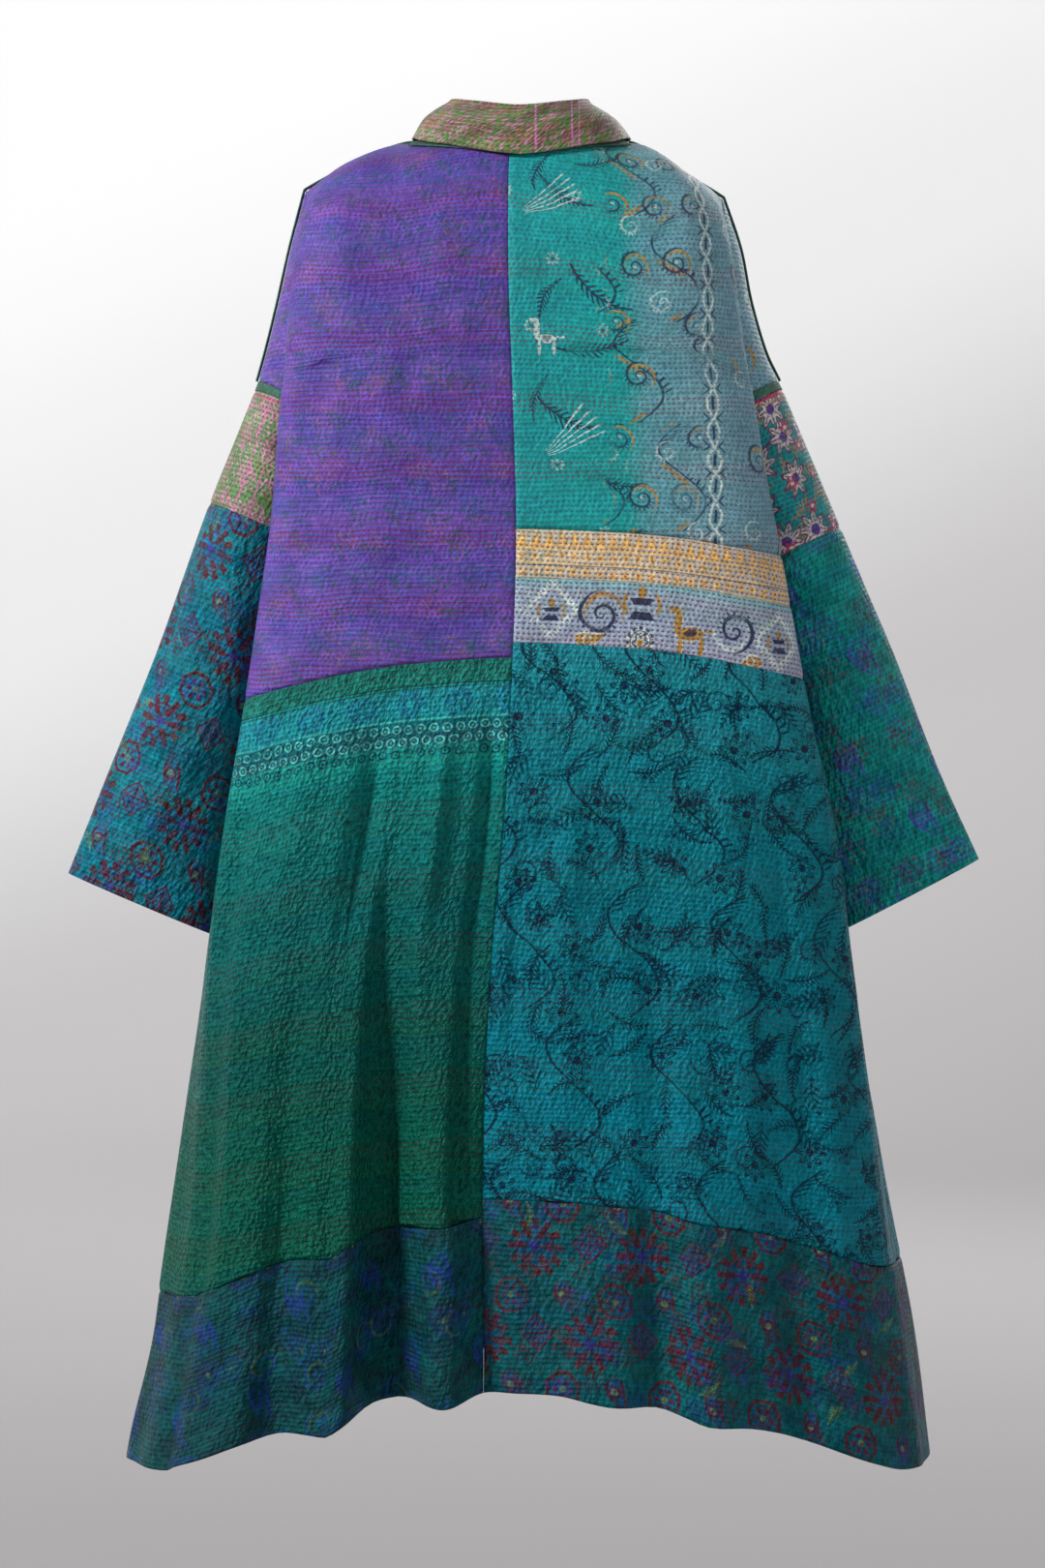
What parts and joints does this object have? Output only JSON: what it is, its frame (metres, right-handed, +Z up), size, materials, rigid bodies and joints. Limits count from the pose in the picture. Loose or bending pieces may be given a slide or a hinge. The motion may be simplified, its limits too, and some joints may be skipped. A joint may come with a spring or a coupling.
{
  "type": "kantha coat",
  "caption": "Long A-line patchwork coat of old sari cloth, open down the front, with a turned-down collar, dropped shoulders and wide sleeves, filled out as when worn.",
  "frame": {"origin": "midway between the two neck points, where the wearer's shoulders hold the coat", "axes": "+Z up, -Y towards the coat's back, +Y towards its open front, +X towards the wearer's right side"},
  "size_m": [0.8288, 0.355, 1.222],
  "materials": {
    "violet_kantha": "matte",
    "turquoise_kantha": "matte",
    "gold_zari": "satin",
    "figured_band": "matte",
    "green_kantha": "matte",
    "floral_teal": "matte",
    "hem_deep_teal": "matte",
    "hem_teal": "matte",
    "sleeve_teal": "matte",
    "sleeve_deep_teal": "matte",
    "light_green_band": "matte",
    "embroidered_band": "matte",
    "olive_print": "matte",
    "bottle_green_tape": "matte"
  },
  "bodies": {
    "root": {"back_upper_left": "violet_kantha", "back_lower_left": "green_kantha", "back_hem_left": "hem_deep_teal", "back_upper_right": "turquoise_kantha", "back_gold_band": "gold_zari", "back_figured_band": "figured_band", "back_lower_right": "floral_teal", "back_hem_right": "hem_teal", "front_upper_left": "violet_kantha", "front_lower_left": "green_kantha", "front_hem_left": "hem_deep_teal", "front_upper_right": "turquoise_kantha", "front_lower_right": "floral_teal", "front_hem_right": "hem_teal", "drop_back_left": "violet_kantha", "drop_front_left": "violet_kantha", "drop_back_right": "turquoise_kantha", "drop_front_right": "turquoise_kantha", "shoulder_tape_left": "bottle_green_tape", "shoulder_tape_right": "bottle_green_tape", "sleeve_tape_left": "bottle_green_tape", "sleeve_tape_right": "bottle_green_tape", "sleeve_band_left": "light_green_band", "sleeve_left": "sleeve_teal", "sleeve_band_right": "embroidered_band", "sleeve_right": "sleeve_deep_teal", "collar_stand": "olive_print", "collar_fall": "olive_print", "neck_tape": "bottle_green_tape"}
  },
  "joints": []
}
